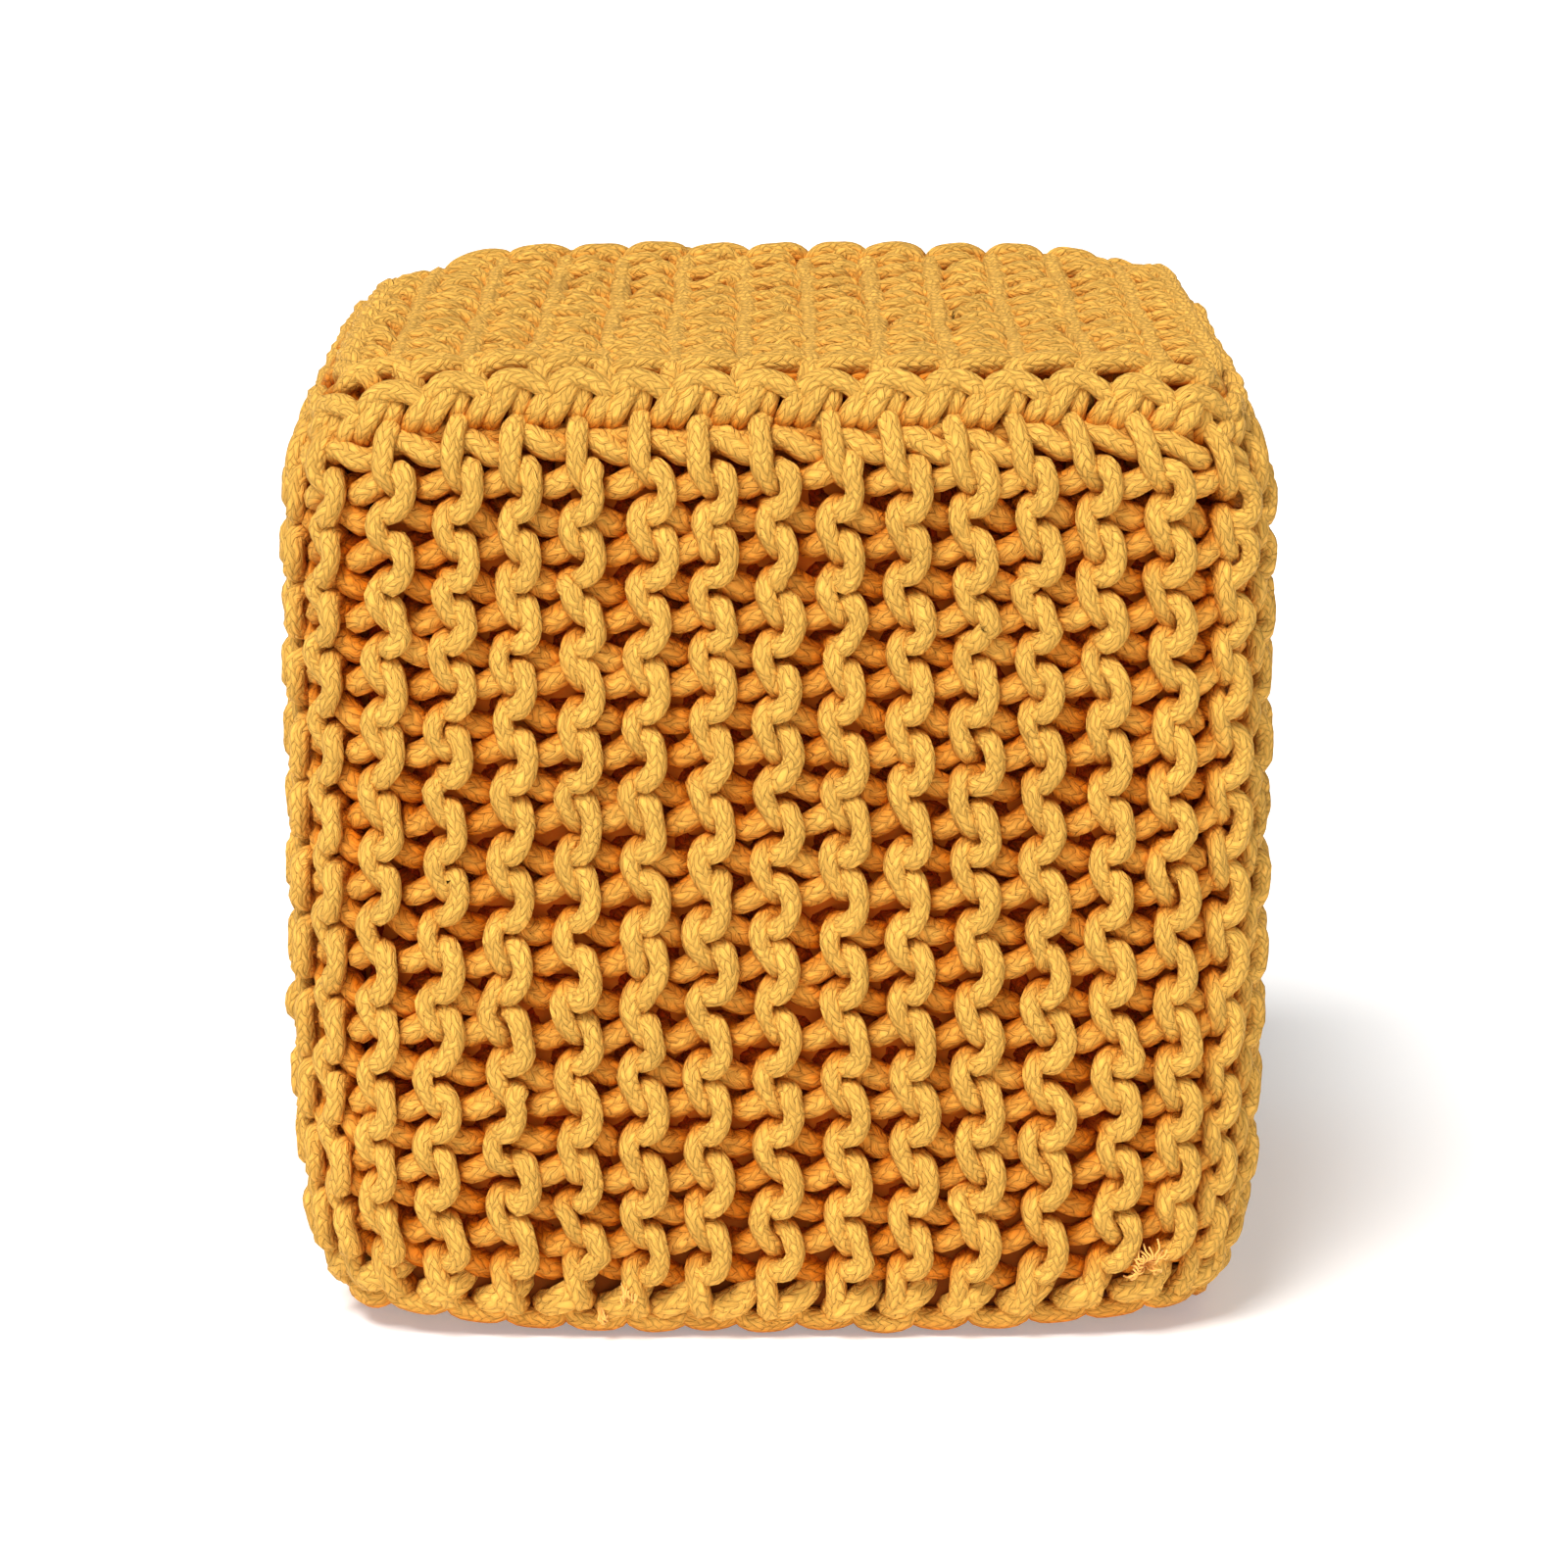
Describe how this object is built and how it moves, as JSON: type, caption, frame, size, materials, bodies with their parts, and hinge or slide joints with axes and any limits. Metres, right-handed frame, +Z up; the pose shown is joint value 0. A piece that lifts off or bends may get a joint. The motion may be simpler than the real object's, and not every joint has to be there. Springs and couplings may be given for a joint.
{
  "type": "knitted cord cube pouf",
  "caption": "Stuffed cube pouf in a knitted cord cover: ribbed side band, dished ridged seat panel and base panel, joined by cord chains along the edges.",
  "frame": {"origin": "on the floor under the middle of the pouf", "axes": "+Z up, -Y towards the front face seen in the picture, +X to that face's right"},
  "size_m": [0.4, 0.4, 0.3988],
  "materials": {
    "band_cord": "dull braided cotton cord, knitted in garter stitch, mustard",
    "panel_cord": "dull braided cotton cord, knitted in garter stitch, mustard",
    "chain_cord": "dull braided cotton cord, worked as a joining chain, mustard"
  },
  "bodies": {
    "root": {"side_band": "band_cord", "top_panel": "panel_cord", "base_panel": "panel_cord", "top_chain": "chain_cord", "base_chain": "chain_cord"}
  },
  "joints": []
}
